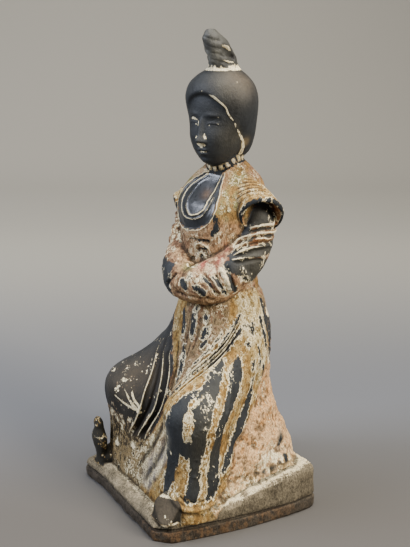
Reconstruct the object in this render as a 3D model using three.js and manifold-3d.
// A seated lady in terracotta, fired in one piece with her low square base.
// Millimetres, +Z up. She faces -Y, her left hand is on the +X side, and the origin is
// on the underside, below the middle of the base.

import * as THREE from 'three';
import { ParametricGeometry } from 'three/addons/geometries/ParametricGeometry.js';
import { mergeVertices } from 'three/addons/utils/BufferGeometryUtils.js';
import Module from 'manifold-3d';

const wasm = await Module();
wasm.setup();

// Driving dimensions

const base = {
	halfWidth: 73.5,
	halfDepth: 72.5,
	bow: 5,              // how far the front edge bends in behind its corners
	inset: 22,           // how far the corner by her left foot is pulled in
	cutCorner: 79,       // from the middle to the flat knocked off that corner
	squareness: 22,
	bandTop: 11,         // height of the lower band, up to the groove
	grooveDepth: 2.6,
	frontTop: 20,        // height of the top face in front
	rearRise: 17,        // how much higher the top face is at the rear left corner
};

const lady = {
	hipAxisY: 9,         // middle of the skirt's foot
	waistAxisY: 24,      // middle of the torso and head
	turn: 17,            // degrees that the torso is turned to her left
	headTurn: 20,        // degrees that the head is turned to her left
	waist: 190,
	neckTop: 293,
	crown: 354,
	top: 381,            // tip of the topknot
};

const clothFillet = 5;

const degree = Math.PI / 180;
const v3 = ( x, y, z ) => new THREE.Vector3( x, y, z );

// Shapes as distances: negative inside, about a millimetre a unit near the surface

// The sections of a stack are [z, x, y, half width, half depth, squareness].
function sectionAt( sections, z ) {

	const last = sections.length - 1;
	if ( z <= sections[ 0 ][ 0 ] ) return sections[ 0 ];
	if ( z >= sections[ last ][ 0 ] ) return sections[ last ];
	let i = 0;
	while ( sections[ i + 1 ][ 0 ] < z ) i ++;
	const slope = ( k, column ) => {

		const a = sections[ Math.max( k - 1, 0 ) ];
		const b = sections[ Math.min( k + 1, last ) ];
		return ( b[ column ] - a[ column ] ) / ( b[ 0 ] - a[ 0 ] );

	};

	const from = sections[ i ];
	const to = sections[ i + 1 ];
	const span = to[ 0 ] - from[ 0 ];
	const t = ( z - from[ 0 ] ) / span;
	const weights = [
		( 1 + 2 * t ) * ( 1 - t ) ** 2,
		t * ( 1 - t ) ** 2 * span,
		t * t * ( 3 - 2 * t ),
		t * t * ( t - 1 ) * span,
	];
	return from.map( ( value, column ) => column === 0 ? z :
		weights[ 0 ] * value + weights[ 1 ] * slope( i, column ) +
		weights[ 2 ] * to[ column ] + weights[ 3 ] * slope( i + 1, column ) );

}

function stack( sections ) {

	const low = sections[ 0 ][ 0 ];
	const high = sections[ sections.length - 1 ][ 0 ];
	return ( p ) => {

		const [ , x, y, rx, ry, n ] = sectionAt( sections, p.z );
		const sum = Math.abs( ( p.x - x ) / rx ) ** n + Math.abs( ( p.y - y ) / ry ) ** n;
		return Math.max( ( sum ** ( 1 / n ) - 1 ) * Math.min( rx, ry ), p.z - high, low - p.z );

	};

}

// A limb is a round bar from one point to another, with a radius at each end.
function limb( from, to, radiusFrom, radiusTo ) {

	const start = v3( ...from );
	const run = v3( ...to ).sub( start );
	const offset = v3();
	return ( p ) => {

		const along = offset.subVectors( p, start ).dot( run ) / run.lengthSq();
		const t = THREE.MathUtils.clamp( along, 0, 1 );
		return offset.addScaledVector( run, - t ).length() - THREE.MathUtils.lerp( radiusFrom, radiusTo, t );

	};

}

function blended( forms, radius ) {

	return ( p ) => {

		const distances = forms.map( ( form ) => form( p ) );
		const nearest = Math.min( ...distances );
		const sum = distances.reduce( ( total, d ) => total + Math.exp( ( nearest - d ) / radius ), 0 );
		return nearest - radius * Math.log( sum );

	};

}

// How far from the centre the surface lies in a direction, walking in from outside.
function reach( form, centre, direction, limit ) {

	const probe = v3();
	const at = ( r ) => form( probe.copy( centre ).addScaledVector( direction, r ) );
	const step = 1.5;
	let r = limit;
	while ( r > step && at( r ) > 0 ) r -= Math.max( step, 0.5 * at( r ) );
	let inside = Math.max( r, 0.1 );
	let outside = inside + 2 * step;
	while ( at( outside ) < 0 ) outside += step;
	for ( let i = 0; i < 12; i ++ ) {

		const middle = ( inside + outside ) / 2;
		if ( at( middle ) < 0 ) inside = middle;
		else outside = middle;

	}

	return ( inside + outside ) / 2;

}

// Solids

// A closed solid from a grid of points: its first and last rows have shrunk to a point.
function gridSolid( pointAt, columns, rows ) {

	const geometry = new ParametricGeometry( pointAt, columns, rows );
	geometry.deleteAttribute( 'normal' );
	geometry.deleteAttribute( 'uv' );
	const merged = mergeVertices( geometry, 1e-3 );
	const index = merged.index.array;
	const triangles = [];
	for ( let i = 0; i < index.length; i += 3 ) {

		const [ a, b, c ] = index.slice( i, i + 3 );
		if ( a !== b && b !== c && c !== a ) triangles.push( a, b, c );

	}

	const solid = new wasm.Manifold( new wasm.Mesh( {
		numProp: 3,
		vertProperties: merged.attributes.position.array,
		triVerts: new Uint32Array( triangles ),
	} ) );
	if ( solid.volume() > 0 ) return solid;
	return gridSolid( ( u, v, target ) => pointAt( 1 - u, v, target ), columns, rows );

}

// Rings of points, each a function of the angle round it, closed at both ends.
// ringAt( s, angle, target ) runs from s = 0 to 1.
function ringSolid( ringAt, columns, rings ) {

	const rim = v3();
	return gridSolid( ( u, v, target ) => {

		const row = Math.round( v * ( rings + 1 ) ) - 1;
		const s = THREE.MathUtils.clamp( row / ( rings - 1 ), 0, 1 );
		if ( row >= 0 && row < rings ) {

			ringAt( s, u * 2 * Math.PI, target );
			return;

		}

		target.set( 0, 0, 0 );
		for ( let k = 0; k < 4; k ++ ) {

			ringAt( s, k * Math.PI / 2, rim );
			target.addScaledVector( rim, 0.25 );

		}

	}, columns, rings + 1 );

}

// A form seen from its centre as a globe of points.
function globeSolid( form, centre, columns, rows, limit ) {

	const direction = v3();
	return gridSolid( ( u, v, target ) => {

		const across = Math.sin( Math.PI * v );
		const angle = u * 2 * Math.PI;
		direction.set( across * Math.cos( angle ), across * Math.sin( angle ), - Math.cos( Math.PI * v ) );
		target.copy( centre ).addScaledVector( direction, reach( form, centre, direction, limit ) );

	}, columns, rows );

}

// A tube along a curve. Each station is [x, y, z, half thickness, half height], with the
// thickness as near as it can be to the sideways direction.
function tubeSolid( stations, sideways, columns, rings ) {

	const path = new THREE.CatmullRomCurve3( stations.map( ( s ) => v3( s[ 0 ], s[ 1 ], s[ 2 ] ) ) );
	const sizes = new THREE.CatmullRomCurve3( stations.map( ( s, i ) => v3( s[ 3 ], s[ 4 ], 10 * i ) ) );
	const tangent = v3(), side = v3(), up = v3(), size = v3();
	return ringSolid( ( s, angle, target ) => {

		const t = 0.5 - 0.5 * Math.cos( Math.PI * s );
		path.getTangent( t, tangent );
		side.copy( sideways ).addScaledVector( tangent, - sideways.dot( tangent ) ).normalize();
		up.crossVectors( side, tangent );
		sizes.getPoint( t, size );
		const round = Math.sqrt( Math.max( 1 - ( 2 * t - 1 ) ** 10, 0.02 ) );
		path.getPoint( t, target );
		target.addScaledVector( side, Math.cos( angle ) * size.x * round );
		target.addScaledVector( up, Math.sin( angle ) * size.y * round );

	}, columns, rings );

}

// Turned to her left about the upright axis through the torso.
function turned( solid, angle ) {

	return solid.rotate( [ 0, 0, angle ] ).translate( [ 0, lady.waistAxisY, 0 ] );

}

// The base: a slab with soft corners, a groove round it and a top that rises to the rear left.
function baseSolid() {

	// share of the way from the groove to the top, share of the band below it, outward offset
	const profile = [
		[ 0, 0, - 1.5 ],
		[ 0, 0.2, 0 ],
		[ 0, 0.85, 0.2 ],
		[ 0, 1, - base.grooveDepth ],
		[ 0.2, 1, 0.3 ],
		[ 0.55, 1, - 0.6 ],
		[ 0.88, 1, - 4 ],
		[ 1, 1, - 9 ],
	];
	const squared = ( value ) => Math.abs( value ) < 1e-6 ? 0 :
		Math.sign( value ) * Math.abs( value ) ** ( 2 / base.squareness );
	return ringSolid( ( s, angle, target ) => {

		const [ share, below, inward ] = profile[ Math.round( s * ( profile.length - 1 ) ) ];
		const riseAt = ( x, y ) => THREE.MathUtils.smoothstep( ( x + y ) / base.halfWidth, - 0.2, 1.8 );
		const rise = riseAt( base.halfWidth * Math.cos( angle ), base.halfDepth * Math.sin( angle ) );
		const offset = inward * ( 1 - 0.8 * rise );
		const x = squared( Math.cos( angle ) ) * ( base.halfWidth + offset );
		const y = squared( Math.sin( angle ) ) * ( base.halfDepth + offset );
		const forward = 0.5 - 0.5 * y / base.halfDepth;
		const right = Math.min( x / base.halfWidth, 0 );
		target.set( x, y, 0 );
		if ( x > 0 ) target.x *= 1 - base.inset / base.halfWidth * forward ** 2;
		if ( y < 0 ) target.y += base.bow * ( 1 - right ** 4 ) * forward ** 2;
		const excess = ( target.x - target.y ) / Math.SQRT2 - base.cutCorner - offset;
		if ( excess > 0 ) target.add( v3( - excess, excess, 0 ).multiplyScalar( Math.SQRT1_2 ) );
		const top = base.frontTop + base.rearRise * riseAt( target.x, target.y );
		target.z = THREE.MathUtils.lerp( below * base.bandTop, top, share );

	}, 40, profile.length );

}

// The skirt over her knees, with the seat hidden under it
const seat = stack( [
	[ 14, 0, 10, 60, 62, 7 ],
	[ 26, 0, 10, 60, 62, 7 ],
	[ 42, 0, 11, 59, 61, 5 ],
	[ 60, 0, 13, 55, 56, 3 ],
	[ 85, 0, 17, 48, 47, 2.4 ],
	[ 115, 0, 20, 42, 40, 2.2 ],
	[ 145, 0, 23, 42, 38, 2.1 ],
	[ 160, 0, 24, 40, 36, 2 ],
	[ 176, 0, 24.5, 35.5, 32, 2 ],
	[ lady.waist, 0, 25, 27, 23, 2 ],
] );
const clothBetweenLegs = stack( [
	[ 14, - 2, - 18, 54, 36, 3 ],
	[ 50, - 4, - 16, 46, 28, 2.6 ],
	[ 80, - 2, - 12, 40, 22, 2.4 ],
	[ 105, 0, - 8, 34, 18, 2.2 ],
	[ 125, 0, 0, 28, 16, 2 ],
] );
const rightKnee = [ - 47, - 34, 87 ];
const clothByKnee = [ - 28, - 30, 84 ];
const leftKnee = [ 41, - 26, 96 ];
const skirt = blended( [
	seat,
	clothBetweenLegs,
	limb( rightKnee, [ - 20, 12, 124 ], 21, 23 ),
	limb( rightKnee, [ - 50, - 34, 20 ], 21, 19 ),
	limb( clothByKnee, [ - 12, 6, 122 ], 19, 22 ),
	limb( clothByKnee, [ - 24, - 32, 20 ], 19, 17 ),
	limb( leftKnee, [ 22, 16, 128 ], 22, 24 ),
	limb( leftKnee, [ 38, - 30, 20 ], 21, 18.5 ),
], clothFillet );

// Directions round the skirt are angles from the front toward her left, seen from an
// upright line that starts at footY behind the middle of the base.
function onSkirt( turnAngle, z, footY, target ) {

	const angle = turnAngle * degree;
	const direction = v3( Math.sin( angle ), - Math.cos( angle ), 0 );
	const rise = THREE.MathUtils.smoothstep( z, 20, 140 );
	const centre = v3( 0, THREE.MathUtils.lerp( footY, lady.waistAxisY, rise ), z );
	return target.copy( centre ).addScaledVector( direction, reach( skirt, centre, direction, 110 ) );

}

function skirtSolid() {

	return ringSolid( ( s, angle, target ) => {

		onSkirt( angle / degree, THREE.MathUtils.lerp( 15, lady.waist, s ), - 8, target );

	}, 52, 24 );

}

// A fold of cloth is a bar half sunk in the skirt, thin at both ends.
function foldSolid( points, radius, rings = 9 ) {

	const line = new THREE.CatmullRomCurve3( points.map( ( [ turnAngle, z ] ) => v3( turnAngle, z, 0 ) ) );
	const stations = [];
	const outward = v3();
	for ( let i = 0; i < rings; i ++ ) {

		const t = i / ( rings - 1 );
		const at = line.getPoint( t );
		const p = onSkirt( at.x, at.y, lady.hipAxisY, v3() );
		outward.set( p.x, p.y - lady.waistAxisY, 0 ).normalize();
		const size = radius * ( 0.35 + 0.65 * Math.sqrt( Math.sin( Math.PI * t ) ) );
		p.addScaledVector( outward, 0.25 * size );
		stations.push( [ p.x, p.y, p.z, size, size ] );

	}

	return tubeSolid( stations, outward, 5, rings );

}

// Folds spread between two border lines, which have as many points as each other.
function fan( borderA, borderB, count, radius ) {

	const folds = [];
	for ( let i = 0; i < count; i ++ ) {

		const t = count === 1 ? 0.5 : i / ( count - 1 );
		folds.push( foldSolid( borderA.map( ( a, k ) => a.map( ( value, c ) =>
			THREE.MathUtils.lerp( value, borderB[ k ][ c ], t ) ) ), radius ) );

	}

	return folds;

}

function skirtFolds() {

	return [
		// from the lap down over the inside of her right thigh
		...fan( [ [ - 20, 147 ], [ - 13, 130 ], [ - 8, 105 ], [ - 11, 82 ], [ - 21, 58 ] ],
			[ [ - 1, 149 ], [ 3, 127 ], [ 3, 104 ], [ 3, 75 ], [ - 1, 48 ] ], 3, 3 ),
		// the edge of the outer garment, slanting down to her left knee
		...fan( [ [ 80, 170 ], [ 62, 150 ], [ 36, 133 ], [ 29, 114 ], [ 26, 96 ] ],
			[ [ 88, 166 ], [ 71, 147 ], [ 44, 128 ], [ 34, 113 ], [ 30, 100 ] ], 2, 2.4 ),
		// cloth hanging between her shins
		...fan( [ [ 26, 102 ], [ 11, 76 ], [ - 1, 53 ], [ - 19, 30 ] ],
			[ [ 31, 80 ], [ 27, 60 ], [ 17, 42 ], [ 1, 25 ] ], 3, 2.8 ),
	];

}

// The torso, in its own directions before the turn
const torso = stack( [
	[ 170, 0, 1, 30, 26, 2 ],
	[ 185, 0, 0.5, 30, 27.5, 2 ],
	[ 198, 0, - 1.5, 29.5, 27, 2 ],
	[ 216, 0, - 3.5, 30, 27, 2 ],
	[ 236, 0, - 4.5, 32, 28, 2.1 ],
	[ 252, 0, - 2.5, 34.5, 26.5, 2.2 ],
	[ 263, 0, 3.5, 34, 23, 2.2 ],
	[ 271, 0, 7, 28, 20, 2.1 ],
	[ 278, 0, 7, 19.5, 16.5, 2 ],
	[ 284, 0, 4, 14, 14, 2 ],
	[ lady.neckTop, 0, - 1, 10.5, 11, 2 ],
] );

function torsoSolid() {

	const centre = v3();
	const direction = v3();
	return ringSolid( ( s, angle, target ) => {

		centre.set( 0, 0, THREE.MathUtils.lerp( 171, lady.neckTop, s ) );
		direction.set( Math.cos( angle ), Math.sin( angle ), 0 );
		target.copy( centre ).addScaledVector( direction, reach( torso, centre, direction, 60 ) );

	}, 26, 18 );

}

// Long sleeves that hang deeper toward the hidden hands, where the two meet
function armSolid( side ) {

	const back = side < 0 ? 4 : 0;    // her right elbow is held further back
	return tubeSolid( [
		[ side * 27, 5 + back, 256, 8, 9 ],
		[ side * 35, 2 + back, 242, 10.5, 11 ],
		[ side * 34, - 2 + back, 226, 13.5, 14.5 ],
		[ side * 29, - 14 + back, 209, 14.5, 17 ],
		[ side * 18, - 28, 197, 15.5, 17.5 ],
		[ side * 5, - 36, 193, 14.5, 15.5 ],
		[ side * - 7, - 36, 193, 11, 13 ],
	], v3( side * 0.87, - 0.5, 0 ), 12, 15 );

}

// A short wide sleeve over each shoulder, open toward the front with a thick rim
function shortSleeveSolid( side ) {

	const open = v3( side * 0.66, - 0.58, - 0.42 ).normalize();
	const across = v3( side * 0.61, 0.78, - 0.19 );
	across.addScaledVector( open, - across.dot( open ) ).normalize();
	const up = v3().crossVectors( open, across ).multiplyScalar( side );
	const neck = v3( side * 9, 8, 269 );
	const mouth = side > 0 ? v3( 41.5, - 4.5, 247.5 ) : v3( - 38, - 3, 237 );
	// share of the way from the neck to the mouth, half width across, half height
	const profile = [
		[ 0, 9, 7 ],
		[ 0.25, 13, 10.5 ],
		[ 0.5, 15.5, 13 ],
		[ 0.75, 16.5, 15 ],
		[ 0.93, 16.5, 16 ],
		[ 1.02, 16.5, 16.3 ],
		[ 1.06, 15.4, 15 ],
		[ 1, 13.6, 13.2 ],
		[ 0.8, 12, 11.5 ],
	];
	return ringSolid( ( s, angle, target ) => {

		const [ share, width, height ] = profile[ Math.round( s * ( profile.length - 1 ) ) ];
		target.lerpVectors( neck, mouth, share );
		target.addScaledVector( across, Math.cos( angle ) * width );
		target.addScaledVector( up, Math.sin( angle ) * height );

	}, 16, profile.length );

}

// The head: a full oval face in an opening of the smooth hair
const hair = stack( [
	[ 284, 0, 11, 9, 7, 2 ],
	[ 291, 0, 9, 17, 12.5, 2 ],
	[ 301, 0, 5.5, 22.5, 17.5, 2 ],
	[ 315, 0, 2, 26, 22.5, 2 ],
	[ 330, 0, - 1, 28, 26, 2 ],
	[ 340, 0, - 1.5, 25.5, 24, 2 ],
	[ 346.5, 0, - 1, 19.5, 20, 2 ],
	[ 350.5, 0, - 0.5, 13, 15.5, 2 ],
	[ 353, 0, 0, 6, 8, 2 ],
] );

function eggSolid( centre, radii, columns, rows ) {

	return gridSolid( ( u, v, target ) => {

		const across = Math.sin( Math.PI * v );
		target.set(
			centre[ 0 ] + radii[ 0 ] * across * Math.cos( u * 2 * Math.PI ),
			centre[ 1 ] + radii[ 1 ] * across * Math.sin( u * 2 * Math.PI ),
			centre[ 2 ] - radii[ 2 ] * Math.cos( Math.PI * v ),
		);

	}, columns, rows );

}

const face = stack( [
	[ 281, 0, - 9, 4, 4, 2 ],
	[ 285, 0, - 9, 10, 11, 2 ],
	[ 294, 0, - 7.5, 17, 18, 2 ],
	[ 305, 0, - 6, 20.3, 20.5, 2 ],
	[ 318, 0, - 5, 23, 20.5, 2 ],
	[ 330, 0, - 4.5, 22, 19.5, 2 ],
	[ 340, 0, - 4, 18, 15, 2 ],
] );

function faceOpening() {

	return ringSolid( ( s, angle, target ) => {

		target.set( 23.5 * Math.cos( angle ), THREE.MathUtils.lerp( - 45, - 4, s ),
			305 + 31 * Math.sin( angle ) );

	}, 20, 2 );

}

function headSolid() {

	const mass = globeSolid( hair, v3( 0, 2, 318 ), 24, 15, 60 );
	return mass.subtract( faceOpening() ).add( globeSolid( face, v3( 0, - 5, 312 ), 20, 12, 60 ) );

}

// The topknot leans forward and has an almond-shaped hollow in each side.
const topknot = stack( [
	[ 346, 0, 2, 11, 15, 2 ],
	[ 354, 0, 0.5, 10, 13.5, 2 ],
	[ 362, 0, - 3, 9, 12.5, 2 ],
	[ 370, 0, - 8.5, 8.5, 11.5, 2 ],
	[ 376.5, 0, - 13.5, 6.5, 8, 2 ],
	[ lady.top, 0, - 15.5, 3, 3.8, 2 ],
] );

function topknotSolid() {

	let knot = globeSolid( topknot, v3( 0, - 4, 363 ), 14, 11, 40 );
	for ( const side of [ - 1, 1 ] ) {

		const hollow = eggSolid( [ 0, 0, 0 ], [ 4, 10, 3.4 ], 10, 6 );
		knot = knot.subtract( hollow.rotate( [ - 35, 0, 0 ] ).translate( [ side * 9.5, - 4.5, 363.5 ] ) );

	}

	return knot;

}

// Her right shoe has a tall turned-up toe. The left one is broken off at a flat face.
function shoes() {

	const toe = stack( [
		[ 16, - 57, - 62.5, 8, 5, 2 ],
		[ 26, - 57, - 62.5, 6.5, 3.6, 2 ],
		[ 42, - 57.5, - 63, 10, 5.2, 2.4 ],
		[ 52, - 57.5, - 63, 6, 3.8, 2 ],
		[ 57, - 57.5, - 63.5, 6, 3.8, 2 ],
		[ 61.5, - 57.5, - 63.5, 3, 2, 2 ],
	] );
	const stump = stack( [
		[ 14, 46, - 52.5, 10.5, 12, 5 ],
		[ 29, 46, - 52, 10, 11, 5 ],
		[ 34, 45.5, - 51.5, 8.5, 9.5, 4 ],
		[ 37, 45, - 51, 5, 6, 3 ],
	] );
	const upright = ( form, x, y, top, columns ) => ringSolid( ( s, angle, target ) => {

		const centre = v3( x, y, THREE.MathUtils.lerp( 16.5, top, s ) );
		const direction = v3( Math.cos( angle ), Math.sin( angle ), 0 );
		target.copy( centre ).addScaledVector( direction, reach( form, centre, direction, 25 ) );

	}, columns, columns );
	const vamp = tubeSolid( [
		[ - 50, - 40, 24, 10, 9 ],
		[ - 54, - 52, 25, 10, 9 ],
		[ - 57, - 62, 24, 7, 7 ],
	], v3( 1, 0, 0 ), 10, 7 );
	const away = v3( 0.5, - 0.68, 0.54 ).normalize();
	const box = new THREE.BoxGeometry( 60, 60, 60 );
	box.translate( 0, 0, 30 );
	box.applyQuaternion( new THREE.Quaternion().setFromUnitVectors( v3( 0, 0, 1 ), away ) );
	box.translate( 49, - 58, 27.5 );
	const broken = mergeVertices( new THREE.BufferGeometry()
		.setAttribute( 'position', box.attributes.position ).setIndex( box.index ), 1e-3 );
	const cutter = new wasm.Manifold( new wasm.Mesh( {
		numProp: 3,
		vertProperties: broken.attributes.position.array,
		triVerts: new Uint32Array( broken.index.array ),
	} ) );
	return [
		upright( toe, - 57.3, - 63, 61.4, 12 ),
		vamp,
		upright( stump, 45.5, - 51.5, 36.8, 14 ).subtract( cutter ),
	];

}

// The figure

const upper = [ torsoSolid(), ...[ - 1, 1 ].flatMap( ( side ) => [
	armSolid( side ),
	shortSleeveSolid( side ),
] ) ].map( ( solid ) => turned( solid, lady.turn ) );
const head = [ headSolid(), topknotSolid() ].map( ( solid ) => turned( solid, lady.headTurn ) );

let figure = baseSolid();
for ( const piece of [ skirtSolid(), ...skirtFolds(), ...shoes(), ...upper, ...head ] ) {

	figure = figure.add( piece );

}

// The origin is below the middle of the outline.
const outline = figure.boundingBox();
figure = figure.translate( [
	- ( outline.min[ 0 ] + outline.max[ 0 ] ) / 2,
	- ( outline.min[ 1 ] + outline.max[ 1 ] ) / 2,
	0,
] );

const mesh = figure.getMesh();
const geometry = new THREE.BufferGeometry();
geometry.setAttribute( 'position', new THREE.BufferAttribute( mesh.vertProperties, 3 ) );
geometry.setIndex( new THREE.BufferAttribute( mesh.triVerts, 1 ) );
geometry.computeVertexNormals();

const votiveFigure = new THREE.Mesh( geometry, new THREE.MeshStandardMaterial( {
	name: 'painted_terracotta', color: 0x6a5743, roughness: 0.75, metalness: 0,
} ) );
votiveFigure.name = 'votive_figure';

const group = new THREE.Group();
group.add( votiveFigure );
export default group;
